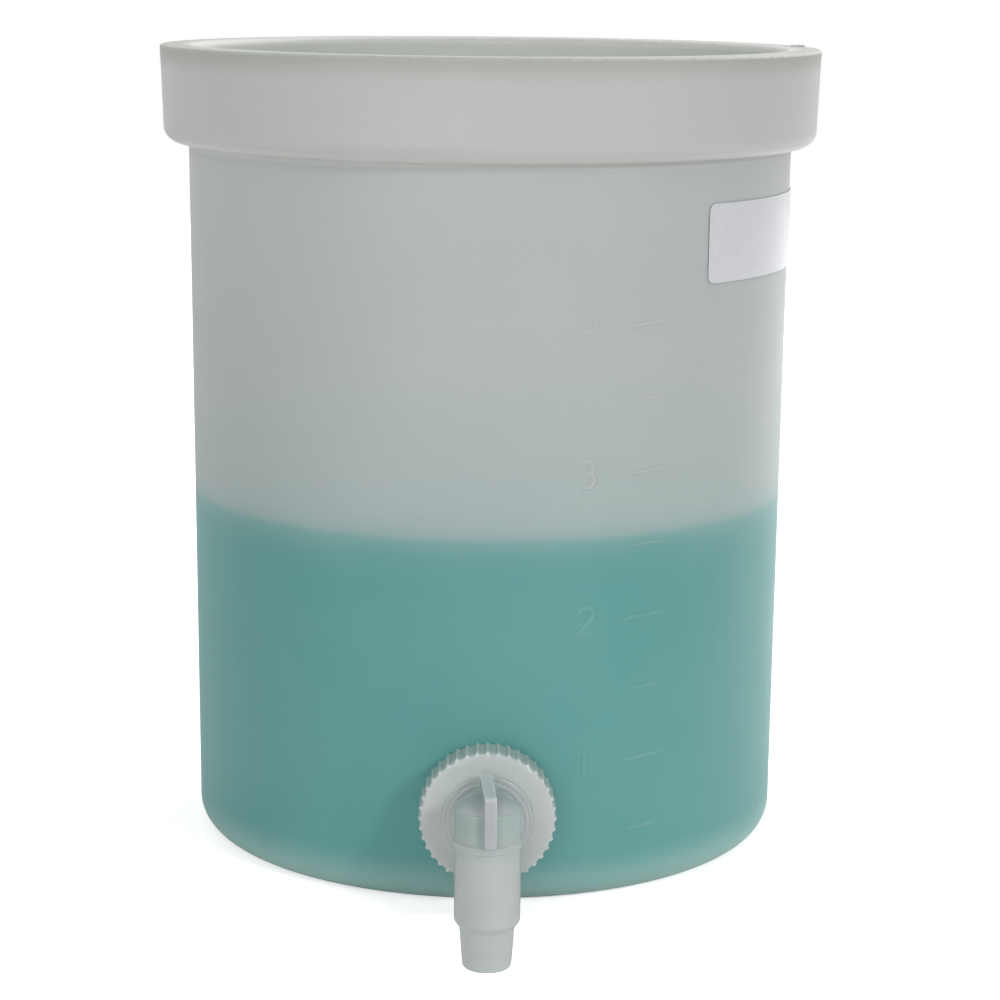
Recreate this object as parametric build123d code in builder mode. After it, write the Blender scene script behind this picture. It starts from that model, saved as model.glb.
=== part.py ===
from build123d import *
from math import asin, cos, degrees, radians, sin, sqrt, tan
import os

# Open-top storage drum with a quarter-turn plug spigot near its base.
# The origin is the centre of the drum's underside, +Z is up, and the spigot points along -Y.
os.makedirs("parts", exist_ok=True)

# Drum, sizes in millimetres
drum_height = 374.0
base_radius = 139.5
wall_draft = 0.33  # degrees, the drum widens upwards
wall_thickness = 4.5
floor_thickness = 5.0
base_corner_radius = 13.0
band_height = 44.5
band_overhang = 11.4  # how far the band's lower edge stands out from the wall
band_draft = 1.9  # degrees
band_underside_radius = 7.5
rim_outer_edge_radius = 1.2
rim_inner_edge_radius = 3.5
gate_mark_radius = 3.6
gate_mark_rise = 0.9
gate_mark_round = 0.8
gate_mark_azimuth = 100.0  # degrees to the right of the spigot

# Label, measured along and up the wall
label_width = 112.0
label_height = 35.0
label_corner_radius = 3.0
label_thickness = 0.25
label_azimuth = 65.0  # degrees to the right of the spigot, at the label's middle
label_drop = 37.0  # from the band's underside down to the label's middle

# Bulkhead fitting, from the inside of the wall outwards
bush_radius = 25.5
bush_bore_radius = 21.0
bush_flange_radius = 32.0
bush_flange_thickness = 4.0
bush_lead_in = 1.0
gasket_edge_thickness = 2.0
washer_rim = 2.0  # how far the washer reaches out past the bush
washer_crown = 1.2  # the washer's thickness where the wall bulges most
seal_thickness = 2.0

# Ring nut
nut_radius = 30.2
nut_depth = 16.6
nut_lip_thickness = 3.6
nut_face_rise = 1.1  # the face's shallow cone, from its outer edge in to the lip
nut_shoulder_radius = 1.8
nut_lip_edge_radius = 0.5
knurl_count = 40
knurl_width = 1.9
knurl_height = 0.9
knurl_root = 3.4  # how far the ridges go on into the nut
knurl_shoulder_radius = 2.6  # rounder than the nut's own shoulder, so the ridges fade out on the face
knurl_inset = 0.05

# Spigot body, each "proud" measured from the front of the nut, each "drop" down from the spigot's axis
flange_thickness = 3.0
hub_radius = 19.7
hub_proud = 0.8
hub_step_radius = 17.8
hub_step_proud = 3.4
hub_neck_radius = 15.6
hub_neck_proud = 4.6
hub_edge_radius = 0.5
tail_length = 4.0
tail_wall = 2.2
funnel_length = 7.0
neck_radius = 14.0
barrel_proud = 19.4
head_radius = 14.6
head_edge_radius = 0.5
collar_radius = 15.2
collar_height = 3.2
collar_drop = 1.6
collar_edge = 0.4
barrel_radius = 14.35
barrel_drop = 38.1
barrel_edge_radius = 2.4
nozzle_root_radius = 12.0
nozzle_root_drop = 41.2
nozzle_tip_radius = 10.6
nozzle_tip_drop = 59.6
nozzle_tip_round = 1.9
nozzle_wall = 2.2
inlet_radius = 6.0

# Plug and thumb blade, each "rise" measured up from the spigot's axis
plug_radius = 9.2
plug_bore_radius = 5.9
port_radius = 5.8
plug_top_rise = 12.2  # the head is cut flat here, under the plug's cap
plug_seat_length = 26.7
cap_radius = 14.4
snap_lip_height = 2.0
snap_lip_grip = 0.5
o_ring_section = 1.5
o_ring_rise = 8.2  # the same distance above and below the axis
groove_slack = 0.4
blade_back_rise = 23.0
blade_front_rise = 21.4
blade_front = 18.0  # from the plug's axis
blade_thickness = 5.3
blade_tip_drop = 0.8
blade_corner_radius = 2.0
blade_edge_radius = 0.8
handle_turn = 3.5  # degrees, the blade stands this far round from the spigot's axis

# Clearances
bush_floor_gap = 0.8
saddle_gap = 0.05
thread_gap = 0.2
hole_gap = 0.3
hub_gap = 0.12
flange_gap = 0.9
tail_gap = 0.3
seal_inset = 0.4
plug_gap = 0.05
o_ring_gap = 0.03
turning_gap = 0.3
blade_hub_gap = 0.5
snap_lip_gap = 0.5
label_gap = 0.3

# Heights and radii of the drum that follow
wall_slope = tan(radians(wall_draft))
band_bottom = drum_height - band_height
wall_top_radius = base_radius + wall_slope * band_bottom
band_bottom_radius = wall_top_radius + band_overhang
band_top_radius = band_bottom_radius + tan(radians(band_draft)) * band_height
rim_bore_radius = base_radius + wall_slope * drum_height - wall_thickness
floor_radius = base_radius + wall_slope * floor_thickness - wall_thickness
floor_corner_radius = base_corner_radius - wall_thickness
label_middle = band_bottom - label_drop
gate_angle = radians(gate_mark_azimuth)
gate_mark_reach = band_top_radius - rim_outer_edge_radius - gate_mark_radius

# The spigot sits as low as its bush's flange lets it
spigot_height = floor_thickness + floor_corner_radius + bush_floor_gap + bush_flange_radius

# Distances from the drum's axis along the spigot
wall_outside = base_radius + wall_slope * spigot_height
wall_inside = wall_outside - wall_thickness
gasket_face = sqrt(wall_inside**2 - bush_flange_radius**2) - gasket_edge_thickness
bush_back = gasket_face - bush_flange_thickness
nut_back = wall_outside + saddle_gap + washer_crown
nut_front = nut_back + nut_depth
flange_front = nut_front - nut_lip_thickness
flange_back = flange_front - flange_thickness
bush_front = flange_back - seal_thickness
barrel_reach = nut_front + barrel_proud

# The blade's back end stops short of the hub's step, and its top slopes down to the front
blade_back = barrel_proud - hub_step_proud - blade_hub_gap
blade_slope = (blade_back_rise - blade_front_rise) / (blade_back + blade_front)

# Radii that follow from the fits
wall_hole_radius = bush_radius + hole_gap
nut_bore_radius = bush_radius + thread_gap
nut_core_radius = nut_radius - knurl_height
nut_lip_radius = hub_radius + hub_gap
nut_face_slope = nut_face_rise / (nut_radius - nut_lip_radius)
nut_shoulder = nut_front - nut_face_slope * (nut_core_radius - nut_lip_radius)
knurl_length = knurl_height + knurl_root
knurl_blank_radius = nut_radius + knurl_height / 2
knurl_front = nut_front - knurl_inset - nut_face_slope * (nut_bore_radius - nut_lip_radius)
knurl_shoulder = nut_front - knurl_inset - nut_face_slope * (knurl_blank_radius - nut_lip_radius)
flange_radius = nut_bore_radius - flange_gap
tail_radius = bush_bore_radius - tail_gap
plug_seat_radius = plug_radius + plug_gap
cap_pocket_radius = cap_radius + turning_gap
dome_radius = sqrt(cap_radius**2 + (plug_top_rise + turning_gap) ** 2)
snap_lip_radius = plug_radius + snap_lip_grip
o_ring_radius = plug_seat_radius - o_ring_gap - o_ring_section / 2
groove_radius = o_ring_radius - o_ring_section / 2 - o_ring_gap

# Heights of the spigot's own features
plug_top = spigot_height + plug_top_rise
plug_seat_end = plug_top - plug_seat_length
cap_bottom = plug_top + turning_gap
snap_lip_top = plug_seat_end - turning_gap
snap_lip_bottom = snap_lip_top - snap_lip_height
nozzle_tip = spigot_height - nozzle_tip_drop

# The spigot's section runs outwards and up, the barrel's section runs across and up
spigot_section = Plane(origin=(0, 0, spigot_height), x_dir=(0, -1, 0), z_dir=(-1, 0, 0))
spigot_axis = Axis((0, 0, spigot_height), (0, -1, 0))
barrel_section = Plane.XZ.offset(barrel_reach)
barrel_axis = Axis((0, -barrel_reach, 0), (0, 0, 1))

# The blade's plane runs along the blade and up, turned about the barrel's axis
turn = radians(handle_turn)
blade_plane = Plane(
    origin=(0, -barrel_reach, spigot_height),
    x_dir=(sin(turn), -cos(turn), 0),
    z_dir=(-cos(turn), -sin(turn), 0),
)


def round_corner(sketch, x, y, radius):
    """Round the corner of a sketch that lies nearest to the point given."""
    fillet(sketch.vertices().sort_by_distance((x, y, 0))[0], radius)


def on_blade_rim(edge):
    """Tell whether an edge runs along the blade's back, top or front."""
    place = blade_plane.to_local_coords(edge.center())
    top_rise = blade_front_rise + blade_slope * (blade_front - place.X)
    inset = min(top_rise - place.Y, blade_front - place.X, blade_back + place.X)
    return inset < blade_corner_radius


def wall_space(offset):
    """Everything within the wall's outside, moved outwards by the offset."""
    with BuildPart() as space:
        with BuildSketch(Plane.XZ):
            with BuildLine():
                Polyline(
                    (0, 0),
                    (base_radius + offset, 0),
                    (base_radius + wall_slope * drum_height + offset, drum_height),
                    (0, drum_height),
                    close=True,
                )
            make_face()
        revolve(axis=Axis.Z)
    return space.part


# The tapered drum with its floor, its rim band, the hole for the spigot and the mould's gate mark
with BuildPart() as drum_shell:
    with BuildSketch(Plane.XZ) as drum_profile:
        with BuildLine():
            Polyline(
                (0, 0),
                (base_radius, 0),
                (wall_top_radius, band_bottom),
                (band_bottom_radius, band_bottom),
                (band_top_radius, drum_height),
                (rim_bore_radius, drum_height),
                (floor_radius, floor_thickness),
                (0, floor_thickness),
                close=True,
            )
        make_face()
        round_corner(drum_profile, base_radius, 0, base_corner_radius)
        round_corner(drum_profile, floor_radius, floor_thickness, floor_corner_radius)
        round_corner(drum_profile, band_bottom_radius, band_bottom, band_underside_radius)
        round_corner(drum_profile, band_top_radius, drum_height, rim_outer_edge_radius)
        round_corner(drum_profile, rim_bore_radius, drum_height, rim_inner_edge_radius)
    revolve(axis=Axis.Z)
    with BuildSketch(Plane.XZ):
        with Locations((0, spigot_height)):
            Circle(wall_hole_radius)
    extrude(amount=nut_back, mode=Mode.SUBTRACT)
    with BuildSketch(Plane.XY.offset(drum_height)):
        with Locations((gate_mark_reach * sin(gate_angle), -gate_mark_reach * cos(gate_angle))):
            Circle(gate_mark_radius)
    extrude(amount=gate_mark_rise)
    fillet(drum_shell.edges().group_by(Axis.Z)[-1], gate_mark_round)
drum_shell.part.label = "drum_shell"
export_step(drum_shell.part, "parts/drum_shell.step")

# A thin sticker that follows the wall
label_angle = radians(label_azimuth)
label_wall_radius = base_radius + wall_slope * label_middle
label_chord = 2 * label_wall_radius * sin(label_width / (2 * label_wall_radius))
label_plane = Plane(
    origin=(0, 0, label_middle),
    x_dir=(cos(label_angle), sin(label_angle), 0),
    z_dir=(sin(label_angle), -cos(label_angle), 0),
)
label_front = wall_space(label_gap + label_thickness)
label_back = wall_space(label_gap)
with BuildPart() as blank_label:
    with BuildSketch(label_plane):
        RectangleRounded(label_chord, label_height, label_corner_radius)
    extrude(amount=band_top_radius)
    add(label_front, mode=Mode.INTERSECT)
    add(label_back, mode=Mode.SUBTRACT)
blank_label.part.label = "blank_label"
export_step(blank_label.part, "parts/blank_label.step")

# The bush: a flange inside the drum and a tube that goes out through the wall
with BuildPart() as bulkhead_bush:
    with BuildSketch(spigot_section):
        with BuildLine():
            Polyline(
                (bush_back, bush_bore_radius),
                (bush_back, bush_flange_radius),
                (gasket_face, bush_flange_radius),
                (gasket_face, bush_radius),
                (bush_front - bush_lead_in, bush_radius),
                (bush_front, bush_radius - bush_lead_in),
                (bush_front, bush_bore_radius),
                close=True,
            )
        make_face()
    revolve(axis=spigot_axis)
    fillet(bulkhead_bush.edges().group_by(Axis.Y)[-1].sort_by(SortBy.RADIUS)[-1], bush_lead_in)
bulkhead_bush.part.label = "bulkhead_bush"
export_step(bulkhead_bush.part, "parts/bulkhead_bush.step")

# The gasket: flat against the bush's flange, curved against the inside of the wall
drum_inside = wall_space(-wall_thickness - saddle_gap)
with BuildPart() as inner_gasket:
    with BuildSketch(Plane.XZ.offset(gasket_face)):
        with Locations((0, spigot_height)):
            Circle(bush_flange_radius)
            Circle(wall_hole_radius, mode=Mode.SUBTRACT)
    extrude(amount=wall_outside - gasket_face)
    add(drum_inside, mode=Mode.INTERSECT)
inner_gasket.part.label = "inner_gasket"
export_step(inner_gasket.part, "parts/inner_gasket.step")

# The washer: curved against the outside of the wall, flat under the ring nut
drum_outside = wall_space(saddle_gap)
with BuildPart() as saddle_washer:
    with BuildSketch(Plane.XZ.offset(nut_back)):
        with Locations((0, spigot_height)):
            Circle(bush_radius + washer_rim)
            Circle(wall_hole_radius, mode=Mode.SUBTRACT)
    extrude(amount=gasket_face - nut_back)
    add(drum_outside, mode=Mode.SUBTRACT)
saddle_washer.part.label = "saddle_washer"
export_step(saddle_washer.part, "parts/saddle_washer.step")

# The ring nut: ridges all round that fade out on its shoulder, and a core bored to a lip
with BuildPart() as ring_nut:
    with BuildSketch(Plane.XZ.offset(nut_back)):
        with Locations((0, spigot_height)):
            with PolarLocations(nut_radius - knurl_length / 2, knurl_count):
                SlotOverall(knurl_length, knurl_width)
    extrude(amount=nut_depth)
    with BuildSketch(spigot_section) as knurl_profile:
        with BuildLine():
            Polyline(
                (nut_back, nut_bore_radius),
                (nut_back, knurl_blank_radius),
                (knurl_shoulder, knurl_blank_radius),
                (knurl_front, nut_bore_radius),
                close=True,
            )
        make_face()
        round_corner(knurl_profile, knurl_shoulder, knurl_blank_radius, knurl_shoulder_radius)
    revolve(axis=spigot_axis, mode=Mode.INTERSECT)
    with BuildSketch(spigot_section) as nut_profile:
        with BuildLine():
            Polyline(
                (nut_back, nut_bore_radius),
                (nut_back, nut_core_radius),
                (nut_shoulder, nut_core_radius),
                (nut_front, nut_lip_radius),
                (flange_front, nut_lip_radius),
                (flange_front, nut_bore_radius),
                close=True,
            )
        make_face()
        round_corner(nut_profile, nut_shoulder, nut_core_radius, nut_shoulder_radius)
        round_corner(nut_profile, nut_front, nut_lip_radius, nut_lip_edge_radius)
    revolve(axis=spigot_axis)
ring_nut.part.label = "ring_nut"
export_step(ring_nut.part, "parts/ring_nut.step")

# The flat seal between the bush's end and the spigot's flange
with BuildPart() as spigot_seal:
    with BuildSketch(Plane.XZ.offset(bush_front)):
        with Locations((0, spigot_height)):
            Circle(flange_radius - seal_inset)
            Circle(bush_bore_radius + seal_inset, mode=Mode.SUBTRACT)
    extrude(amount=seal_thickness)
spigot_seal.part.label = "spigot_seal"
export_step(spigot_seal.part, "parts/spigot_seal.step")

# The spigot's body: flange and stepped hub along its axis, then the head, barrel and nozzle
with BuildPart() as spigot_body:
    with BuildSketch(spigot_section) as hub_profile:
        with BuildLine():
            Polyline(
                (bush_front - tail_length, tail_radius - tail_wall),
                (bush_front - tail_length, tail_radius),
                (flange_back, tail_radius),
                (flange_back, flange_radius),
                (flange_front, flange_radius),
                (flange_front, hub_radius),
                (nut_front + hub_proud, hub_radius),
                (nut_front + hub_proud, hub_step_radius),
                (nut_front + hub_step_proud, hub_step_radius),
                (nut_front + hub_step_proud, hub_neck_radius),
                (nut_front + hub_neck_proud, hub_neck_radius),
                (nut_front + hub_neck_proud, neck_radius),
                (barrel_reach, neck_radius),
                (barrel_reach, 0),
                (flange_back + funnel_length, 0),
                (flange_back + funnel_length, inlet_radius),
                (flange_back, tail_radius - tail_wall),
                close=True,
            )
        make_face()
        round_corner(hub_profile, nut_front + hub_proud, hub_radius, hub_edge_radius)
        round_corner(hub_profile, nut_front + hub_step_proud, hub_step_radius, hub_edge_radius)
        round_corner(hub_profile, nut_front + hub_neck_proud, hub_neck_radius, hub_edge_radius)
    revolve(axis=spigot_axis)
    with BuildSketch(barrel_section) as barrel_profile:
        with BuildLine():
            Polyline(
                (0, plug_top),
                (0, nozzle_tip),
                (nozzle_tip_radius, nozzle_tip),
                (nozzle_root_radius, spigot_height - nozzle_root_drop),
                (barrel_radius, spigot_height - barrel_drop),
                (barrel_radius, spigot_height - collar_drop - collar_height - collar_edge),
                (collar_radius, spigot_height - collar_drop - collar_height),
                (collar_radius, spigot_height - collar_drop - collar_edge),
                (head_radius, spigot_height - collar_drop),
                (head_radius, plug_top),
                close=True,
            )
        make_face()
        round_corner(barrel_profile, head_radius, plug_top, head_edge_radius)
        round_corner(barrel_profile, barrel_radius, spigot_height - barrel_drop, barrel_edge_radius)
        round_corner(
            barrel_profile, nozzle_root_radius, spigot_height - nozzle_root_drop, barrel_edge_radius
        )
        round_corner(barrel_profile, nozzle_tip_radius, nozzle_tip, nozzle_tip_round)
    revolve(axis=barrel_axis)
    with BuildSketch(barrel_section):
        with BuildLine():
            Polyline(
                (0, spigot_height + dome_radius),
                (cap_pocket_radius, spigot_height + dome_radius),
                (cap_pocket_radius, plug_top),
                (plug_seat_radius, plug_top),
                (plug_seat_radius, plug_seat_end),
                (snap_lip_radius + snap_lip_gap, plug_seat_end),
                (nozzle_tip_radius - nozzle_wall, nozzle_tip),
                (0, nozzle_tip),
                close=True,
            )
        make_face()
    revolve(axis=barrel_axis, mode=Mode.SUBTRACT)
    with BuildSketch(Plane.XZ.offset(flange_back + funnel_length)):
        with Locations((0, spigot_height)):
            Circle(inlet_radius)
    extrude(amount=barrel_reach - flange_back - funnel_length, mode=Mode.SUBTRACT)
spigot_body.part.label = "spigot_body"
export_step(spigot_body.part, "parts/spigot_body.step")

# The plug: thumb blade and domed cap above the head, hollow below, with one port in its side
with BuildPart() as spigot_plug:
    with BuildSketch(blade_plane) as blade_profile:
        with BuildLine():
            Polyline(
                (0, -blade_tip_drop),
                (blade_front, -blade_tip_drop),
                (blade_front, blade_front_rise),
                (-blade_back, blade_back_rise),
                (-blade_back, hub_neck_radius + turning_gap),
                (0, hub_neck_radius + turning_gap),
                close=True,
            )
        make_face()
        round_corner(blade_profile, blade_front, blade_front_rise, blade_corner_radius)
        round_corner(blade_profile, -blade_back, blade_back_rise, blade_corner_radius)
        with Locations((0, plug_top_rise + turning_gap)):
            Rectangle(
                head_radius + turning_gap,
                plug_top_rise + turning_gap + blade_tip_drop,
                align=(Align.MIN, Align.MAX),
                mode=Mode.SUBTRACT,
            )
    extrude(amount=blade_thickness / 2, both=True)
    blade_sides = spigot_plug.faces().filter_by(Axis((0, 0, 0), blade_plane.z_dir))
    blade_rim = blade_sides.edges().filter_by(on_blade_rim)
    fillet(blade_rim, blade_edge_radius)
    with BuildSketch(barrel_section):
        with BuildLine():
            cap_start = degrees(asin((cap_bottom - spigot_height) / dome_radius))
            cap_arc = CenterArc((0, spigot_height), dome_radius, cap_start, 90 - cap_start)
            Polyline(
                cap_arc @ 1,
                (0, snap_lip_bottom),
                (plug_radius, snap_lip_bottom),
                (snap_lip_radius, snap_lip_top - snap_lip_height / 2),
                (snap_lip_radius, snap_lip_top),
                (plug_radius, snap_lip_top),
                (plug_radius, cap_bottom),
                cap_arc @ 0,
            )
        make_face()
    revolve(axis=barrel_axis)
    with BuildSketch(Plane.XY.offset(snap_lip_bottom)):
        with Locations((0, -barrel_reach)):
            Circle(plug_bore_radius)
    extrude(amount=spigot_height + port_radius - snap_lip_bottom, mode=Mode.SUBTRACT)
    with BuildSketch(blade_plane):
        Circle(port_radius)
    extrude(amount=-plug_seat_radius, mode=Mode.SUBTRACT)
    with BuildSketch(barrel_section):
        for groove_height in (spigot_height - o_ring_rise, spigot_height + o_ring_rise):
            with Locations((groove_radius, groove_height)):
                Rectangle(
                    plug_seat_radius - groove_radius,
                    o_ring_section + groove_slack,
                    align=(Align.MIN, Align.CENTER),
                )
    revolve(axis=barrel_axis, mode=Mode.SUBTRACT)
spigot_plug.part.label = "spigot_plug"
export_step(spigot_plug.part, "parts/spigot_plug.step")

# Two rings in the plug's grooves, above and below its port
with BuildPart() as plug_o_rings:
    with BuildSketch(barrel_section):
        for ring_height in (spigot_height - o_ring_rise, spigot_height + o_ring_rise):
            with Locations((o_ring_radius, ring_height)):
                Circle(o_ring_section / 2)
    revolve(axis=barrel_axis)
plug_o_rings.part.label = "plug_o_rings"
export_step(plug_o_rings.part, "parts/plug_o_rings.step")
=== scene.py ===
import math

import bmesh
import bpy
from mathutils import Matrix, Vector


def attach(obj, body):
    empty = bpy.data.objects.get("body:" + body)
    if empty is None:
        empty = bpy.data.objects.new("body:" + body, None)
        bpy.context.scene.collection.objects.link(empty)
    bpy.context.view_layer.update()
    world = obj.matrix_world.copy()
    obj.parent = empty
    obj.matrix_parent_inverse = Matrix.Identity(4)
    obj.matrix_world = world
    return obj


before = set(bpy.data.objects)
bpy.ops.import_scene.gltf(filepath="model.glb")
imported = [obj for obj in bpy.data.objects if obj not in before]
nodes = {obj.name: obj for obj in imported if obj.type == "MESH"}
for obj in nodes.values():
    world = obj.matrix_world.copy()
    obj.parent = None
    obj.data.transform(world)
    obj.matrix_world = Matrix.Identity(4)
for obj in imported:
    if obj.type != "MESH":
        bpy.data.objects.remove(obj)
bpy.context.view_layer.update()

scene = bpy.context.scene
scene.view_settings.view_transform = "Standard"
print("frame loaded with", len(nodes), "nodes")

# the drum's wall in metres, as its solid has it
wallSet = {
    "baseRadius": 0.1395,
    "slope": math.tan(math.radians(0.33)),    # it widens upwards
    "bandBottom": 0.3295,
    "rimTop": 0.374,
    "floorTop": 0.005,
    "insideRadius": 0.13503,
    "floorCorner": 0.0085,
}

black = (0.0, 0.0, 0.0, 1.0)
white = (1.0, 1.0, 1.0, 1.0)


def tone(red, green, blue):
    # a screen tone of 0 to 255 as the linear colour that a shader takes
    def linear(value):
        share = value / 255
        if share <= 0.04045:
            return share / 12.92
        return ((share + 0.055) / 1.055) ** 2.4
    return (linear(red), linear(green), linear(blue), 1.0)


def wallRadius(height):
    return wallSet["baseRadius"] + wallSet["slope"] * height


def onWall(azimuth, height, lift):
    # azimuth in degrees, 0 at the spigot and growing to the right
    turn = math.radians(azimuth)
    reach = wallRadius(height) + lift
    return Vector((math.sin(turn) * reach, -math.cos(turn) * reach, height))


def smoothShade(mesh, angle):
    for face in mesh.polygons:
        face.use_smooth = True
    mesh.set_sharp_from_angle(angle=math.radians(angle))


def meshFrom(name, work, smoothAngle):
    mesh = bpy.data.meshes.new(name)
    work.to_mesh(mesh)
    work.free()
    smoothShade(mesh, smoothAngle)
    return mesh


def addPiece(name, mesh, material, body):
    piece = bpy.data.objects.new(name, mesh)
    scene.collection.objects.link(piece)
    mesh.materials.append(material)
    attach(piece, body)


# shader helpers

number = "NodeSocketFloat"
color = "NodeSocketColor"
vector = "NodeSocketVector"


def feed(tree, value, socket):
    if isinstance(value, bpy.types.NodeSocket):
        tree.links.new(value, socket)
    else:
        socket.default_value = value


def addNode(tree, kind, options=None, values=None):
    node = tree.nodes.new("ShaderNode" + kind)
    for name, value in (options or {}).items():
        setattr(node, name, value)
    for name, value in (values or {}).items():
        feed(tree, value, node.inputs[name])
    return node


def calc(tree, operation, *terms):
    node = addNode(tree, "Math", {"operation": operation})
    for term, socket in zip(terms, node.inputs):
        feed(tree, term, socket)
    return node.outputs[0]


def calcVector(tree, operation, *terms):
    node = addNode(tree, "VectorMath", {"operation": operation})
    for term, socket in zip(terms, node.inputs):
        feed(tree, term, socket)
    return node.outputs["Value"]


def spread(tree, value, fromLow, fromHigh, toLow, toHigh):
    node = addNode(tree, "MapRange", {"interpolation_type": "SMOOTHSTEP"}, {
        "Value": value,
        "From Min": fromLow,
        "From Max": fromHigh,
        "To Min": toLow,
        "To Max": toHigh,
    })
    return node.outputs["Result"]


def fadeAt(tree, value, start, fade, toLow, toHigh):
    # the fade's two ends are measured from the start
    return spread(tree, value, start + fade[0], start + fade[1], toLow, toHigh)


def mixColor(tree, mask, first, second):
    node = addNode(tree, "Mix", {"data_type": "RGBA"})
    feed(tree, mask, node.inputs[0])
    feed(tree, first, node.inputs[6])    # the colour sockets A and B
    feed(tree, second, node.inputs[7])
    return node.outputs[2]


def noise(tree, place, scale, detail, rough=0.5):
    return addNode(tree, "TexNoise", values={
        "Vector": place, "Scale": scale, "Detail": detail, "Roughness": rough,
    }).outputs["Fac"]


def objectPlace(tree):
    return addNode(tree, "TexCoord").outputs["Object"]


def splitPlace(tree, place):
    return addNode(tree, "SeparateXYZ", values={"Vector": place}).outputs


def newGroup(name, inputs, outputs):
    group = bpy.data.node_groups.new(name, "ShaderNodeTree")
    for label, (kind, value) in inputs.items():
        socket = group.interface.new_socket(label, in_out="INPUT", socket_type=kind)
        socket.default_value = value
    for label, kind in outputs.items():
        group.interface.new_socket(label, in_out="OUTPUT", socket_type=kind)
    entry = group.nodes.new("NodeGroupInput")
    leave = group.nodes.new("NodeGroupOutput")
    return group, entry.outputs, leave.inputs


def placeGroup(tree, group, values):
    node = tree.nodes.new("ShaderNodeGroup")
    node.node_tree = group
    for name, value in values.items():
        feed(tree, value, node.inputs[name])
    return node.outputs


def newMaterial(name, values):
    material = bpy.data.materials.new(name)
    material.use_nodes = True
    tree = material.node_tree
    shader = tree.nodes["Principled BSDF"]
    for label, value in values.items():
        shader.inputs[label].default_value = value
    return material, tree, shader


def addBump(tree, shader, height, depth, strength):
    bump = addNode(tree, "Bump", values={"Height": height, "Distance": depth, "Strength": strength})
    tree.links.new(bump.outputs["Normal"], shader.inputs["Normal"])


# cloudy resin and the fine grain that a mould leaves on it

skinSet = {
    "cloudDetail": 4.0,
    "cloudRough": 0.55,
    "cloudRange": (0.3, 0.7),
    "grainDetail": 2.0,
    "grainRough": 0.6,
    "grainRise": 0.35,    # beside the clouds, which rise by 1
}


def makeMouldedSkin():
    group, given, result = newGroup("mouldedSkin", {
        "Cloud Scale": (number, 16.0),
        "Grain Scale": (number, 900.0),
        "Satin": (number, 0.42),
        "Satin Spread": (number, 0.10),
    }, {"Cloud": number, "Roughness": number, "Height": number})
    place = objectPlace(group)
    cloud = noise(group, place, given["Cloud Scale"], skinSet["cloudDetail"], skinSet["cloudRough"])
    grain = noise(group, place, given["Grain Scale"], skinSet["grainDetail"], skinSet["grainRough"])
    clouded = spread(group, cloud, *skinSet["cloudRange"], 0.0, 1.0)
    uneven = calc(group, "SUBTRACT", clouded, 0.5)
    satin = calc(group, "MULTIPLY_ADD", uneven, given["Satin Spread"], given["Satin"])
    relief = calc(group, "MULTIPLY_ADD", grain, skinSet["grainRise"], clouded)
    feed(group, clouded, result["Cloud"])
    feed(group, satin, result["Roughness"])
    feed(group, relief, result["Height"])
    return group


# short rubbed streaks from handling, in two directions

rubSet = {
    "streaks": ((0.5, (9.0, 9.0, 0.7)), (-0.9, (7.0, 7.0, 0.5))),    # turn and stretch
    "lean": 0.6,
    "streakDetail": 2.0,
    "streakRange": (0.66, 0.78),
    "patchScale": 9.0,    # the streaks keep to patches
    "patchDetail": 1.0,
    "patchRange": (0.48, 0.66),
}


def makeRubMarks():
    group, given, result = newGroup("rubMarks", {
        "Streak Scale": (number, 26.0),
        "Share": (number, 0.35),
    }, {"Mask": number})
    place = objectPlace(group)
    masks = []
    for turn, stretch in rubSet["streaks"]:
        turned = addNode(group, "Mapping", values={
            "Vector": place, "Rotation": (turn, turn * rubSet["lean"], 0.0), "Scale": stretch,
        }).outputs["Vector"]
        streak = noise(group, turned, given["Streak Scale"], rubSet["streakDetail"])
        masks.append(spread(group, streak, *rubSet["streakRange"], 0.0, 1.0))
    patch = noise(group, place, rubSet["patchScale"], rubSet["patchDetail"])
    patched = spread(group, patch, *rubSet["patchRange"], 0.0, 1.0)
    rubbed = calc(group, "MULTIPLY", calc(group, "MAXIMUM", *masks), patched)
    feed(group, calc(group, "MULTIPLY", rubbed, given["Share"]), result["Mask"])
    return group


# how much the liquid inside pale resin shows, from a point outwards
def makeWetThrough():
    group, given, result = newGroup("wetThrough", {
        "Middle": (vector, (0.0, -0.16, 0.0463)),
        "Near": (number, 0.012),
        "Far": (number, 0.026),
        "Share": (number, 0.5),
    }, {"Mask": number})
    away = calcVector(group, "DISTANCE", objectPlace(group), given["Middle"])
    feed(group, spread(group, away, given["Near"], given["Far"], given["Share"], 0.0), result["Mask"])
    return group


# painted light: a glow that lifts the shade in tight corners and gaps, for light that comes through
# pale resin

creaseSet = {
    "samples": 8,
    "openRange": (0.15, 0.75),    # from shut in to open
}


def makeCreaseGlow():
    group, given, result = newGroup("creaseGlow", {
        "Tone": (color, white),
        "Reach": (number, 0.004),
        "Share": (number, 0.5),
    }, {"Glow": color})
    clear = addNode(group, "AmbientOcclusion", {"samples": creaseSet["samples"]}, {
        "Distance": given["Reach"],
    }).outputs["AO"]
    lit = spread(group, clear, *creaseSet["openRange"], given["Share"], 0.0)
    feed(group, mixColor(group, lit, black, given["Tone"]), result["Glow"])
    return group


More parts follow.
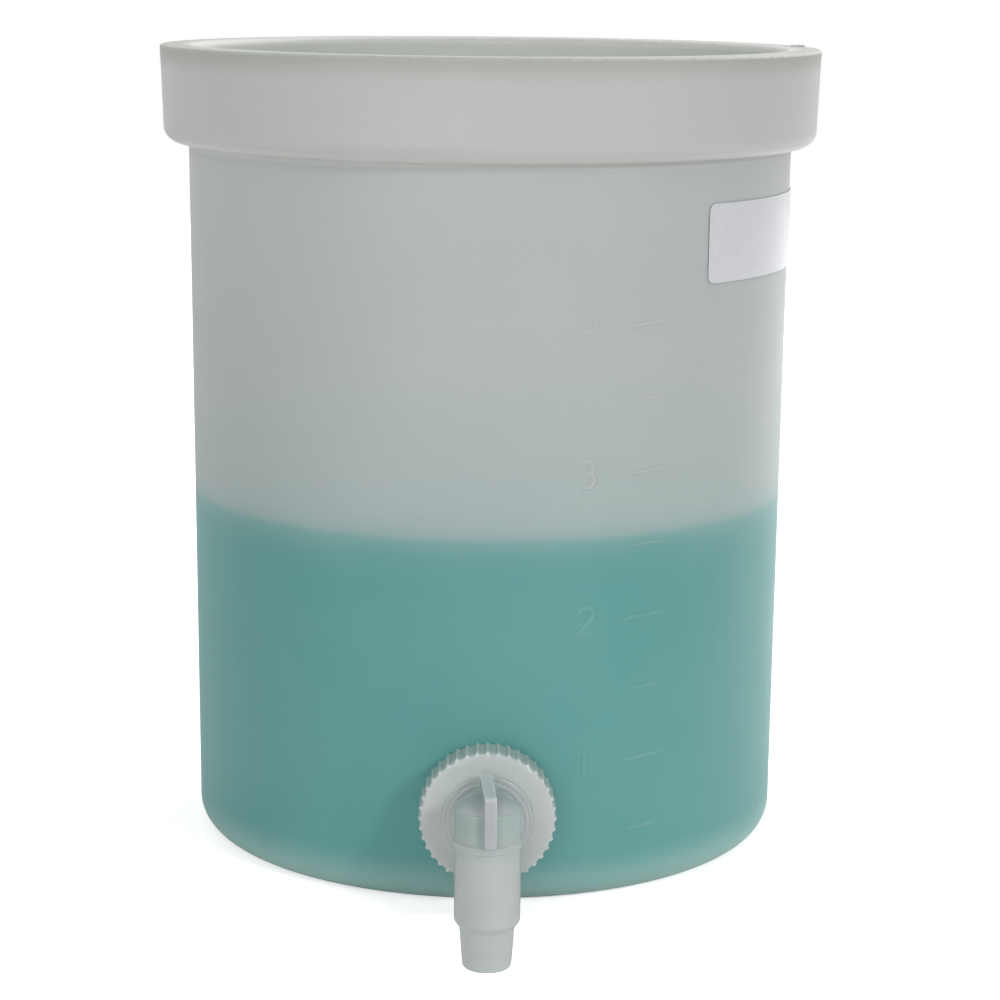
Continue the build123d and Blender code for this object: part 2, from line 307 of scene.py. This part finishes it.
# distance from the drum's axis, and a mask of the faces that look towards it
def makeFromAxis():
    group, given, result = newGroup("fromAxis", {
        "Inward Full": (number, -0.06),
        "Inward None": (number, -0.02),
    }, {"Reach": number, "Inward": number})
    coords = addNode(group, "TexCoord").outputs
    spot = splitPlace(group, coords["Object"])
    flat = addNode(group, "CombineXYZ", values={"X": spot["X"], "Y": spot["Y"]}).outputs["Vector"]
    along = calcVector(group, "DOT_PRODUCT", coords["Normal"], flat)
    inward = spread(group, along, given["Inward Full"], given["Inward None"], 1.0, 0.0)
    feed(group, calcVector(group, "LENGTH", flat), result["Reach"])
    feed(group, inward, result["Inward"])
    return group


mouldedSkin = makeMouldedSkin()
rubMarks = makeRubMarks()
wetThrough = makeWetThrough()
creaseGlow = makeCreaseGlow()
fromAxis = makeFromAxis()


def placeSkin(tree, look):
    skin = placeGroup(tree, mouldedSkin, {
        "Cloud Scale": look["cloudScale"],
        "Grain Scale": look["grainScale"],
        "Satin": look["satin"],
        "Satin Spread": look["satinSpread"],
    })
    marks = placeGroup(tree, rubMarks, {
        "Streak Scale": look["streakScale"], "Share": look["streakShare"],
    })
    return skin, marks


def dressResin(tree, shader, look, body):
    # clouds, rubbed streaks and grain over the body's tone
    skin, marks = placeSkin(tree, look)
    cloudShare = spread(tree, skin["Cloud"], 0.0, 1.0, 0.0, look["cloudShare"])
    clouded = mixColor(tree, cloudShare, body, white)
    rubShare = calc(tree, "MULTIPLY", marks["Mask"], look["rubShare"])
    feed(tree, mixColor(tree, rubShare, clouded, look["rubTone"]), shader.inputs["Base Color"])
    addBump(tree, shader, skin["Height"], look["grainDepth"], look["grainStrength"])
    return calc(tree, "MULTIPLY_ADD", marks["Mask"], look["rubRough"], skin["Roughness"])


print("node groups made")

# drum plastic, tinted by the liquid behind it

liquidTone = tone(90, 152, 148)

drumSet = {
    "wallTone": tone(182, 185, 184),
    "bandTone": tone(189, 191, 189),
    "bandFade": (-0.004, 0.002),           # at the band's underside
    "rimShadeTone": tone(172, 174, 168),        # painted shade: the rim darkens towards its top edge
    "rimFade": (-0.012, -0.001),
    "insideLightTone": tone(206, 206, 202),     # painted light: the inside is painted lighter for the light that comes through the wall
    "insideFade": (0.003, 0.012),          # over the rim's top, from the inside out
    "insideRough": 0.22,                   # added to the roughness inside and along the rim
    "insideGlow": 0.18,                    # share of the painted glow on the inside, for the light that comes through the wall
    "insideGlowFade": (-0.03, 0.01),       # it ends behind the band
    "cornerLightTone": tone(214, 215, 212),     # painted light: the corner under the band is painted lighter against its shade
    "cornerReach": 0.004,
    "level": 0.1657,
    "levelShare": 0.735,                   # how far the tint has come at the level itself
    "sharpReach": 0.003,                   # the sharp part of its fade above the level
    "glowShare": 0.35,                     # the long glow higher up the wall
    "glowReach": 0.062,
    "underReach": 0.006,
    "footTone": tone(148, 180, 175),       # painted paler at the base: less tint in the thick corner, and painted light from the floor below
    "footHeight": 0.024,
    "throughWall": 0.5,                    # share of the light that goes on through the resin
    "throughReach": 0.006,
    "markTint": 0.93,                      # the marks are thicker, so they show a little less tint
    "cloudScale": 13.0,
    "cloudShare": 0.018,
    "grainScale": 700.0,
    "grainDepth": 0.0004,
    "grainStrength": 0.25,
    "satin": 0.42,
    "satinSpread": 0.10,
    "streakScale": 20.0,
    "streakShare": 0.06,
    "rubTone": tone(214, 217, 215),
    "rubShare": 0.2,
    "rubRough": 0.2,
}


# how much of the liquid's tint the wall shows at a height
def makeLiquidTint():
    group, given, result = newGroup("liquidTint", {
        "Height": (number, 0.0),
        "Share": (number, 1.0),
    }, {"Mask": number})

    def fade(distance, reach, share):
        power = calc(group, "EXPONENT", calc(group, "MULTIPLY", distance, -1.0 / reach))
        return calc(group, "MULTIPLY", power, share)

    over = calc(group, "SUBTRACT", given["Height"], drumSet["level"])
    up = calc(group, "MAXIMUM", over, 0.0)
    down = calc(group, "MAXIMUM", calc(group, "MULTIPLY", over, -1.0), 0.0)
    levelShare, glowShare = drumSet["levelShare"], drumSet["glowShare"]
    sharp = fade(up, drumSet["sharpReach"], levelShare - glowShare)
    glow = fade(up, drumSet["glowReach"], glowShare)
    under = fade(down, drumSet["underReach"], 1.0 - levelShare)
    above = calc(group, "ADD", sharp, glow)
    below = calc(group, "SUBTRACT", 1.0 - levelShare, under)
    shown = calc(group, "ADD", above, below)
    feed(group, calc(group, "MULTIPLY", shown, given["Share"]), result["Mask"])
    return group


liquidTint = makeLiquidTint()


def makeDrumPlastic(name, tintShare, throughWall):
    material, tree, shader = newMaterial(name, {
        "IOR": 1.5,
        "Specular IOR Level": 0.35,
        "Emission Strength": 1.0,
        "Subsurface Weight": throughWall,
        "Subsurface Scale": drumSet["throughReach"],
        "Subsurface Radius": (1.0, 1.0, 1.0),
    })
    height = splitPlace(tree, objectPlace(tree))["Z"]
    bottom, top = wallSet["bandBottom"], wallSet["rimTop"]

    # the outside, with painted shade on the rim towards its top edge and painted light in the corner
    # under the band
    banded = fadeAt(tree, height, bottom, drumSet["bandFade"], 0.0, 1.0)
    rimmed = fadeAt(tree, height, top, drumSet["rimFade"], 0.0, 1.0)
    band = mixColor(tree, rimmed, drumSet["bandTone"], drumSet["rimShadeTone"])
    wall = mixColor(tree, banded, drumSet["wallTone"], band)
    # painted light in the corner under the band, where shade falls
    fromCorner = calc(tree, "ABSOLUTE", calc(tree, "SUBTRACT", height, bottom))
    cornered = spread(tree, fromCorner, 0.0, drumSet["cornerReach"], 1.0, 0.0)
    outside = mixColor(tree, cornered, wall, drumSet["cornerLightTone"])

    # the inside, painted lighter for the light through the wall, and the tint over both
    axis = placeGroup(tree, fromAxis, {})
    innerRim = fadeAt(tree, axis["Reach"], wallSet["insideRadius"], drumSet["insideFade"], 1.0, 0.0)
    within = calc(tree, "MAXIMUM", calc(tree, "MULTIPLY", innerRim, banded), axis["Inward"])
    plain = mixColor(tree, within, outside, drumSet["insideLightTone"])
    tint = placeGroup(tree, liquidTint, {"Height": height, "Share": tintShare})
    # the base corner painted paler, partly for painted light from the floor
    footed = spread(tree, height, 0.0, drumSet["footHeight"], 1.0, 0.0)
    behind = mixColor(tree, footed, liquidTone, drumSet["footTone"])
    tinted = mixColor(tree, tint["Mask"], plain, behind)

    # painted glow on the inside faces, for the light that reaches them through the wall
    below = fadeAt(tree, height, bottom, drumSet["insideGlowFade"], drumSet["insideGlow"], 0.0)
    glowing = calc(tree, "MULTIPLY", axis["Inward"], below)
    feed(tree, mixColor(tree, glowing, black, tinted), shader.inputs["Emission Color"])

    rough = dressResin(tree, shader, drumSet, tinted)
    dull = calc(tree, "MAXIMUM", within, rimmed)
    dulled = calc(tree, "MULTIPLY_ADD", dull, drumSet["insideRough"], rough)
    feed(tree, dulled, shader.inputs["Roughness"])
    return material


drumPlastic = makeDrumPlastic("drumPlastic", 1.0, drumSet["throughWall"])
markPlastic = makeDrumPlastic("markPlastic", drumSet["markTint"], 0.0)

# the spigot's plastics

spigotSet = {
    "wetTone": tone(112, 152, 143),
    "flowMiddle": (0.0, -0.1780, 0.0580),    # where the liquid inside shows most
    "throughWall": 0.5,
    "throughReach": 0.005,
    "creaseReach": 0.005,
    "creaseShare": 0.28,
    "cloudScale": 60.0,
    "cloudShare": 0.02,
    "grainScale": 1500.0,
    "grainDepth": 0.0002,
    "grainStrength": 0.15,
    "satin": 0.22,
    "satinSpread": 0.06,
    "streakScale": 90.0,
    "streakShare": 0.25,
    "rubTone": tone(220, 222, 221),
    "rubShare": 0.2,
    "rubRough": 0.08,
}


def makeSpigotPlastic(name, finish):
    material, tree, shader = newMaterial(name, {
        "IOR": 1.5,
        "Specular IOR Level": 0.4,
        "Subsurface Weight": spigotSet["throughWall"],
        "Subsurface Scale": spigotSet["throughReach"],
        "Subsurface Radius": (1.0, 1.0, 1.0),
        "Emission Strength": 1.0,
    })
    wet = placeGroup(tree, wetThrough, {
        "Middle": spigotSet["flowMiddle"],
        "Near": finish["near"],
        "Far": finish["far"],
        "Share": finish["wetShare"],
    })
    body = mixColor(tree, wet["Mask"], finish["plain"], spigotSet["wetTone"])
    # painted shading towards one end: shade on the nut's back, light on the blade's top
    if "endShadingTone" in finish:
        along = splitPlace(tree, objectPlace(tree))[finish["endAxis"]]
        atEnd = spread(tree, along, *finish["endFade"], 0.0, 1.0)
        body = mixColor(tree, atEnd, body, finish["endShadingTone"])
    # painted glow in the creases, against their shade
    glow = placeGroup(tree, creaseGlow, {
        "Tone": body, "Reach": spigotSet["creaseReach"], "Share": spigotSet["creaseShare"],
    })
    feed(tree, glow["Glow"], shader.inputs["Emission Color"])
    rough = dressResin(tree, shader, spigotSet, body)
    feed(tree, rough, shader.inputs["Roughness"])
    return material


spigotPlastic = makeSpigotPlastic("spigotPlastic", {
    "plain": tone(177, 183, 183), "wetShare": 0.60, "near": 0.006, "far": 0.028,
})
nutPlastic = makeSpigotPlastic("nutPlastic", {
    "plain": tone(184, 190, 189), "wetShare": 0.12, "near": 0.016, "far": 0.036,
    # painted shade: its back, by the wall, is painted darker and tinted like the wall
    "endShadingTone": tone(166, 179, 176), "endAxis": "Y", "endFade": (-0.1555, -0.149),
})
plugPlastic = makeSpigotPlastic("plugPlastic", {
    "plain": tone(170, 173, 175), "wetShare": 0.45, "near": 0.004, "far": 0.019,
    # painted light: the blade's top is painted lighter, for light falling on it from above
    "endShadingTone": tone(188, 195, 194), "endAxis": "Z", "endFade": (0.0667, 0.0678),
})

# bare film of the label

labelSet = {
    "lowTone": tone(203, 205, 210),
    "highTone": tone(206, 208, 213),
    "fibreScale": 420.0,
    "fibreDetail": 3.0,
    "fibreRange": (0.35, 0.65),
    "fibreRise": 0.05,    # beside the ripple, which rises by 1
    "rippleScale": 24.0,
    "rippleDetail": 1.0,
    "rippleRange": (0.3, 0.7),
    "satinRange": (0.17, 0.25),
    "depth": 0.0003,
    "strength": 0.12,
}


def makeLabelFilm():
    material, tree, shader = newMaterial("labelFilm", {
        "IOR": 1.5, "Specular IOR Level": 0.3, "Coat Weight": 0.12, "Coat Roughness": 0.15,
    })
    place = objectPlace(tree)
    fibre = noise(tree, place, labelSet["fibreScale"], labelSet["fibreDetail"])
    ripple = noise(tree, place, labelSet["rippleScale"], labelSet["rippleDetail"])
    fibred = spread(tree, fibre, *labelSet["fibreRange"], 0.0, 1.0)
    paper = mixColor(tree, fibred, labelSet["lowTone"], labelSet["highTone"])
    feed(tree, paper, shader.inputs["Base Color"])
    satin = spread(tree, ripple, *labelSet["rippleRange"], *labelSet["satinRange"])
    feed(tree, satin, shader.inputs["Roughness"])
    relief = calc(tree, "MULTIPLY_ADD", fibre, labelSet["fibreRise"], ripple)
    addBump(tree, shader, relief, labelSet["depth"], labelSet["strength"])
    return material


# rubber of the seals

rubberSet = {
    "darkTone": tone(52, 53, 54),
    "greyTone": tone(66, 67, 68),
    "rubTone": tone(96, 97, 98),
    "cloudScale": 90.0,
    "grainScale": 2200.0,
    "grainDepth": 0.0002,
    "grainStrength": 0.5,
    "satin": 0.62,
    "satinSpread": 0.14,
    "streakScale": 120.0,
    "streakShare": 0.5,
}


def makeSealRubber():
    material, tree, shader = newMaterial("sealRubber", {"IOR": 1.5, "Specular IOR Level": 0.3})
    skin, marks = placeSkin(tree, rubberSet)
    rubber = mixColor(tree, skin["Cloud"], rubberSet["darkTone"], rubberSet["greyTone"])
    rubbed = mixColor(tree, marks["Mask"], rubber, rubberSet["rubTone"])
    feed(tree, rubbed, shader.inputs["Base Color"])
    feed(tree, skin["Roughness"], shader.inputs["Roughness"])
    addBump(tree, shader, skin["Height"], rubberSet["grainDepth"], rubberSet["grainStrength"])
    return material


sealRubber = makeSealRubber()
finishes = {
    "drum_shell": drumPlastic,
    "blank_label": makeLabelFilm(),
    "bulkhead_bush": spigotPlastic,
    "saddle_washer": nutPlastic,
    "ring_nut": nutPlastic,
    "spigot_body": spigotPlastic,
    "spigot_plug": plugPlastic,
    "inner_gasket": sealRubber,
    "spigot_seal": sealRubber,
    "plug_o_rings": sealRubber,
}
for nodeName, material in finishes.items():
    for slot in nodes[nodeName].material_slots:
        slot.material = material
print("materials on", len(finishes), "nodes")

# raised volume marks on the wall

markSet = {
    "firstHeight": -0.00045,
    "perVolume": 0.06516,        # height of one whole unit
    "wholeUnits": 4,
    "longTick": (24.8, 33.8),    # degrees to the right of the spigot
    "shortTick": (26.9, 32.7),
    "tickWidth": 0.0016,
    "tickSteps": 12,
    "tilt": 0.07,                # the ticks rise a little to the right
    "digitAzimuth": 17.7,
    "digitHeight": 0.0117,
    "digitMiddle": (0.34, 0.5),
    "strokeWidth": 0.0019,
    "rise": 0.00012,
    "root": 0.0004,              # how far the marks go into the wall
    "foot": 1.25,                # half widths at the root
    "shoulder": 0.55,            # share of the rise at the full width
    "crown": 0.45,               # half widths of the flat top
    "mitreLimit": 0.55,
    "endWidth": 0.6,
    "endRise": 0.5,
    "smoothAngle": 60,
}


def arc(x, y, radius, fromAngle, toAngle, steps=12):
    turns = [math.radians(fromAngle + (toAngle - fromAngle) * k / steps) for k in range(steps + 1)]
    return [(x + radius * math.cos(turn), y + radius * math.sin(turn)) for turn in turns]


# strokes of the four numbers, in shares of their height
digitStrokes = {
    1: [(0.10, 0.80), (0.36, 1.0), (0.36, 0.0)],
    2: arc(0.33, 0.71, 0.29, 172, -38) + [(0.03, 0.0), (0.65, 0.0)],
    3: arc(0.31, 0.755, 0.245, 155, -75) + arc(0.31, 0.27, 0.27, 75, -158),
    4: [(0.50, 0.0), (0.50, 1.0), (0.03, 0.28), (0.68, 0.28)],
}


def addRib(work, azimuth, height, path, width):
    # a low rounded rib along a path of (across, up) points, laid on the wall
    half = width / 2
    root, rise = markSet["root"], markSet["rise"]
    foot, crown = markSet["foot"] * half, half * markSet["crown"]
    shoulder = rise * markSet["shoulder"]
    section = ((-foot, -root), (-half, shoulder), (-crown, rise),
               (crown, rise), (half, shoulder), (foot, -root))
    radius = wallRadius(height)
    points = [Vector(point) for point in path]
    ways = [(after - before).normalized() for before, after in zip(points, points[1:])]
    rings = []
    for i, point in enumerate(points):
        before, after = ways[max(i - 1, 0)], ways[min(i, len(ways) - 1)]
        way = (before + after).normalized()
        across = Vector((-way.y, way.x)) / max(way.dot(before), markSet["mitreLimit"])
        isEnd = i in (0, len(points) - 1)
        ring = []
        for off, lift in section:
            spot = point + across * off * (markSet["endWidth"] if isEnd else 1.0)
            raised = lift * markSet["endRise"] if isEnd and lift > 0 else lift
            turn = azimuth + math.degrees(spot.x / radius)
            ring.append(work.verts.new(onWall(turn, height + spot.y, raised)))
        rings.append(ring)
    for first, second in zip(rings, rings[1:]):
        for i in range(len(section)):
            j = (i + 1) % len(section)
            work.faces.new((first[i], second[i], second[j], first[j]))
    work.faces.new(rings[0])
    work.faces.new(reversed(rings[-1]))


def addTick(work, fromAzimuth, toAzimuth, height):
    steps, tilt = markSet["tickSteps"], markSet["tilt"]
    length = math.radians(toAzimuth - fromAzimuth) * wallRadius(height)
    path = [(length * k / steps, length * (k / steps - 0.5) * tilt) for k in range(steps + 1)]
    addRib(work, fromAzimuth, height, path, markSet["tickWidth"])


def addDigit(work, digit, height):
    tall = markSet["digitHeight"]
    middleX, middleY = markSet["digitMiddle"]
    path = [((x - middleX) * tall, (y - middleY) * tall) for x, y in digitStrokes[digit]]
    addRib(work, markSet["digitAzimuth"], height, path, markSet["strokeWidth"])


def makeVolumeMarks():
    work = bmesh.new()
    for half in range(1, 2 * markSet["wholeUnits"] + 1):
        height = markSet["firstHeight"] + markSet["perVolume"] * half / 2
        whole = half % 2 == 0
        addTick(work, *(markSet["longTick"] if whole else markSet["shortTick"]), height)
        if whole:
            addDigit(work, half // 2, height)
    bmesh.ops.recalc_face_normals(work, faces=work.faces)
    mesh = meshFrom("volume_marks", work, markSet["smoothAngle"])
    addPiece("volume_marks", mesh, markPlastic, "drum")


makeVolumeMarks()
print("volume marks made")

# the liquid

liquidSet = {
    "gap": 0.0004,
    "climb": 0.0012,                     # rise of the edge against the wall
    "climbReach": 0.006,
    "steps": 8,                          # of each curve in the profile
    "turns": 128,
    "smoothAngle": 35,
    "deepTone": tone(74, 142, 136),
    "midTone": tone(84, 152, 145),
    "wallTone": tone(112, 172, 165),     # paler near the wall
    "wallFade": (0.09, 0.135),
    "swirlScale": 11.0,
    "swirlDetail": 3.0,
    "swirlRange": (0.35, 0.65),
    "glossRange": (0.3, 0.7),
    "gloss": (0.05, 0.10),
    "waveDepth": 0.0008,
    "waveStrength": 0.15,
    "glow": 0.22,                        # share of the painted glow, for the light that reaches it through the wall
}


def makeLiquidFinish():
    material, tree, shader = newMaterial("tealLiquid", {
        "IOR": 1.33, "Specular IOR Level": 0.5, "Coat Weight": 0.3, "Coat Roughness": 0.05,
        "Emission Strength": 1.0,
    })
    axis = placeGroup(tree, fromAxis, {})
    nearWall = spread(tree, axis["Reach"], *liquidSet["wallFade"], 0.0, 1.0)
    swirl = noise(tree, objectPlace(tree), liquidSet["swirlScale"], liquidSet["swirlDetail"])
    swirled = spread(tree, swirl, *liquidSet["swirlRange"], 0.0, 1.0)
    deep = mixColor(tree, swirled, liquidSet["deepTone"], liquidSet["midTone"])
    shown = mixColor(tree, nearWall, deep, liquidSet["wallTone"])
    feed(tree, shown, shader.inputs["Base Color"])
    # painted glow on the liquid, for light through the wall
    lit = mixColor(tree, liquidSet["glow"], black, shown)
    feed(tree, lit, shader.inputs["Emission Color"])
    gloss = spread(tree, swirl, *liquidSet["glossRange"], *liquidSet["gloss"])
    feed(tree, gloss, shader.inputs["Roughness"])
    addBump(tree, shader, swirl, liquidSet["waveDepth"], liquidSet["waveStrength"])
    return material


def liquidProfile():
    # (radius, height) from the middle of the floor out, up and back in along the surface
    gap, steps, climb = liquidSet["gap"], liquidSet["steps"], liquidSet["climb"]
    level, corner = drumSet["level"], wallSet["floorCorner"]
    side = wallSet["insideRadius"] - gap
    bottom = wallSet["floorTop"] + gap
    profile = [(0.0, bottom)]
    for step in range(steps + 1):    # round the corner of the drum's floor
        turn = math.radians(90 * step / steps)
        reach = side - corner + corner * math.sin(turn)
        profile.append((reach, bottom + corner * (1 - math.cos(turn))))
    top = side + wallSet["slope"] * (level - bottom)
    profile.append((top, level + climb))
    for step in range(1, steps + 1):    # curve of the edge down to the flat
        share = step / steps
        reach = top - liquidSet["climbReach"] * share
        profile.append((reach, level + climb * (1 - share) ** 3))
    profile.append((0.0, level))
    return profile


def makeLiquid():
    work = bmesh.new()
    turns = liquidSet["turns"]
    angles = [math.tau * k / turns for k in range(turns)]
    rings = []
    for radius, height in liquidProfile():
        around = angles if radius > 0.0 else angles[:1]    # the two middles are single points
        rings.append([work.verts.new((
            radius * math.cos(angle), radius * math.sin(angle), height,
        )) for angle in around])
    for first, second in zip(rings, rings[1:]):
        for k in range(turns):
            m = (k + 1) % turns
            corners = [
                first[k % len(first)], first[m % len(first)],
                second[m % len(second)], second[k % len(second)],
            ]
            work.faces.new(list(dict.fromkeys(corners)))    # a triangle at a middle
    bmesh.ops.recalc_face_normals(work, faces=work.faces)
    mesh = meshFrom("liquid_fill", work, liquidSet["smoothAngle"])
    addPiece("liquid_fill", mesh, makeLiquidFinish(), "drum")


makeLiquid()
print("liquid made")

# counter and floor

stageSet = {
    "counterFront": -0.152,              # the spout hangs over this edge
    "counterHalf": 2.5,
    "counterBack": 3.0,
    "drop": 0.30,
    "edge": 0.004,
    "edgeSteps": 4,
    "cove": 0.1,                         # the wall below the edge runs out into the floor
    "coveCut": 0.03,
    "smoothAngle": 50,
    "tone": (0.80, 0.80, 0.80, 1.0),
    "speckTone": (0.84, 0.84, 0.84, 1.0),
    "speckScale": 60.0,
    "speckDetail": 3.0,
    "nearGlow": 0.56,                    # what the camera sees on top of the lit floor, by the drum
    "farGlow": 0.80,
    "glowFade": (0.20, 0.75),
    "brightSide": (0.0, 0.35),           # reflections find the floor brighter to the right
}


def makeFloorFinish():
    material, tree, shader = newMaterial("paleFloor", {
        "Roughness": 0.9, "Specular IOR Level": 0.1, "Emission Color": white,
    })
    place = objectPlace(tree)
    speck = noise(tree, place, stageSet["speckScale"], stageSet["speckDetail"])
    pale = mixColor(tree, speck, stageSet["tone"], stageSet["speckTone"])
    feed(tree, pale, shader.inputs["Base Color"])
    path = addNode(tree, "LightPath").outputs
    across = splitPlace(tree, place)["X"]
    onRight = spread(tree, across, *stageSet["brightSide"], 0.0, 1.0)
    mirrored = calc(tree, "MULTIPLY", path["Is Glossy Ray"], onRight)
    through = calc(tree, "MAXIMUM", mirrored, path["Is Transmission Ray"])
    seen = calc(tree, "MAXIMUM", path["Is Camera Ray"], through)
    away = calcVector(tree, "LENGTH", place)
    glow = spread(tree, away, *stageSet["glowFade"], stageSet["nearGlow"], stageSet["farGlow"])
    feed(tree, calc(tree, "MULTIPLY", seen, glow), shader.inputs["Emission Strength"])
    return material


def makeStage():
    front, back, half = stageSet["counterFront"], stageSet["counterBack"], stageSet["counterHalf"]
    edge, drop, steps = stageSet["edge"], stageSet["drop"], stageSet["edgeSteps"]
    cove, coveCut = stageSet["cove"], stageSet["coveCut"]
    outline = [(back, 0.0)]
    for step in range(steps + 1):    # rounded front edge of the counter
        turn = math.radians(90 * step / steps)
        outline.append((front + edge - edge * math.sin(turn), edge * math.cos(turn) - edge))
    outline += [(front, cove - drop), (front - coveCut, coveCut - drop)]
    outline += [(front - cove, -drop), (-back, -drop)]
    work = bmesh.new()
    left = [work.verts.new((-half, y, z)) for y, z in outline]
    right = [work.verts.new((half, y, z)) for y, z in outline]
    for i in range(len(outline) - 1):
        work.faces.new((left[i], left[i + 1], right[i + 1], right[i]))
    mesh = meshFrom("studio_floor", work, stageSet["smoothAngle"])
    mesh.materials.append(makeFloorFinish())
    floor = bpy.data.objects.new("studio_floor", mesh)
    scene.collection.objects.link(floor)


makeStage()

# light

lightSet = {
    "world": 0.46,
    "lamps": {
        "frontSoftbox": {
            "place": (-1.0, -2.14, 0.95), "aim": (0.0, 0.0, 0.18),
            "size": 1.8, "spread": 180, "power": 18.8,
        },
        "rightSoftbox": {
            "place": (1.3, -1.75, 1.1), "aim": (0.0, -0.15, 0.0),
            "size": 0.40, "spread": 36, "power": 0.88,
        },
        "backSoftbox": {
            "place": (1.25, 1.8, 1.9), "aim": (0.0, 0.0, 0.18),
            "size": 1.2, "spread": 180, "power": 42.0,
        },
        "rearSoftbox": {
            "place": (-0.75, 2.1, 1.9), "aim": (0.0, 0.0, 0.18),
            "size": 1.2, "spread": 180, "power": 7.0,
        },
    },
}


def makeWorld():
    # white to the camera and in reflections, a plain level as light
    world = bpy.data.worlds.new("studioWorld")
    scene.world = world
    world.use_nodes = True
    tree = world.node_tree
    tree.nodes.clear()
    path = addNode(tree, "LightPath").outputs
    reflected = calc(tree, "MAXIMUM", path["Is Glossy Ray"], path["Is Transmission Ray"])
    seen = calc(tree, "MAXIMUM", path["Is Camera Ray"], reflected)
    lit = addNode(tree, "Background", values={"Color": white, "Strength": lightSet["world"]})
    backdrop = addNode(tree, "Background", values={"Color": white, "Strength": 1.0})
    mixed = addNode(tree, "MixShader", values={"Fac": seen})
    tree.links.new(lit.outputs[0], mixed.inputs[1])
    tree.links.new(backdrop.outputs[0], mixed.inputs[2])
    leave = addNode(tree, "OutputWorld")
    tree.links.new(mixed.outputs[0], leave.inputs["Surface"])


def addLamp(name, lamp):
    light = bpy.data.lights.new(name, "AREA")
    light.shape = "SQUARE"
    light.size = lamp["size"]
    light.spread = math.radians(lamp["spread"])
    light.energy = lamp["power"]
    holder = bpy.data.objects.new(name, light)
    holder.location = lamp["place"]
    aim = Vector(lamp["aim"]) - Vector(lamp["place"])
    holder.rotation_euler = aim.to_track_quat("-Z", "Y").to_euler()
    scene.collection.objects.link(holder)


makeWorld()
for lampName, lamp in lightSet["lamps"].items():
    addLamp(lampName, lamp)

# camera, in metres and degrees

cameraSet = {
    "away": 1.27289,
    "height": 0.41407,
    "swing": 0.5,    # to the left of the spigot's plane
    "yaw": 0.782,
    "pitch": 11.434,
    "roll": 0.551,
    "lens": 96.37,
    "sensor": 36.0,
}


def makeCamera():
    swing, yaw = math.radians(cameraSet["swing"]), math.radians(cameraSet["yaw"])
    pitch, roll = math.radians(cameraSet["pitch"]), math.radians(cameraSet["roll"])
    ahead = Vector((
        math.sin(yaw) * math.cos(pitch), math.cos(yaw) * math.cos(pitch), -math.sin(pitch),
    ))
    level = Vector((math.cos(yaw), -math.sin(yaw), 0.0))
    upright = level.cross(ahead)
    right = level * math.cos(roll) + upright * math.sin(roll)
    up = upright * math.cos(roll) - level * math.sin(roll)
    data = bpy.data.cameras.new("photoCamera")
    data.lens = cameraSet["lens"]
    data.sensor_width = cameraSet["sensor"]
    camera = bpy.data.objects.new("photoCamera", data)
    place = Vector((-math.sin(swing), -math.cos(swing), 0.0)) * cameraSet["away"]
    place.z = cameraSet["height"]
    turned = Matrix((right, up, -ahead)).transposed().to_4x4()
    camera.matrix_world = Matrix.Translation(place) @ turned
    scene.collection.objects.link(camera)
    scene.camera = camera


makeCamera()
print("stage, light and camera made")
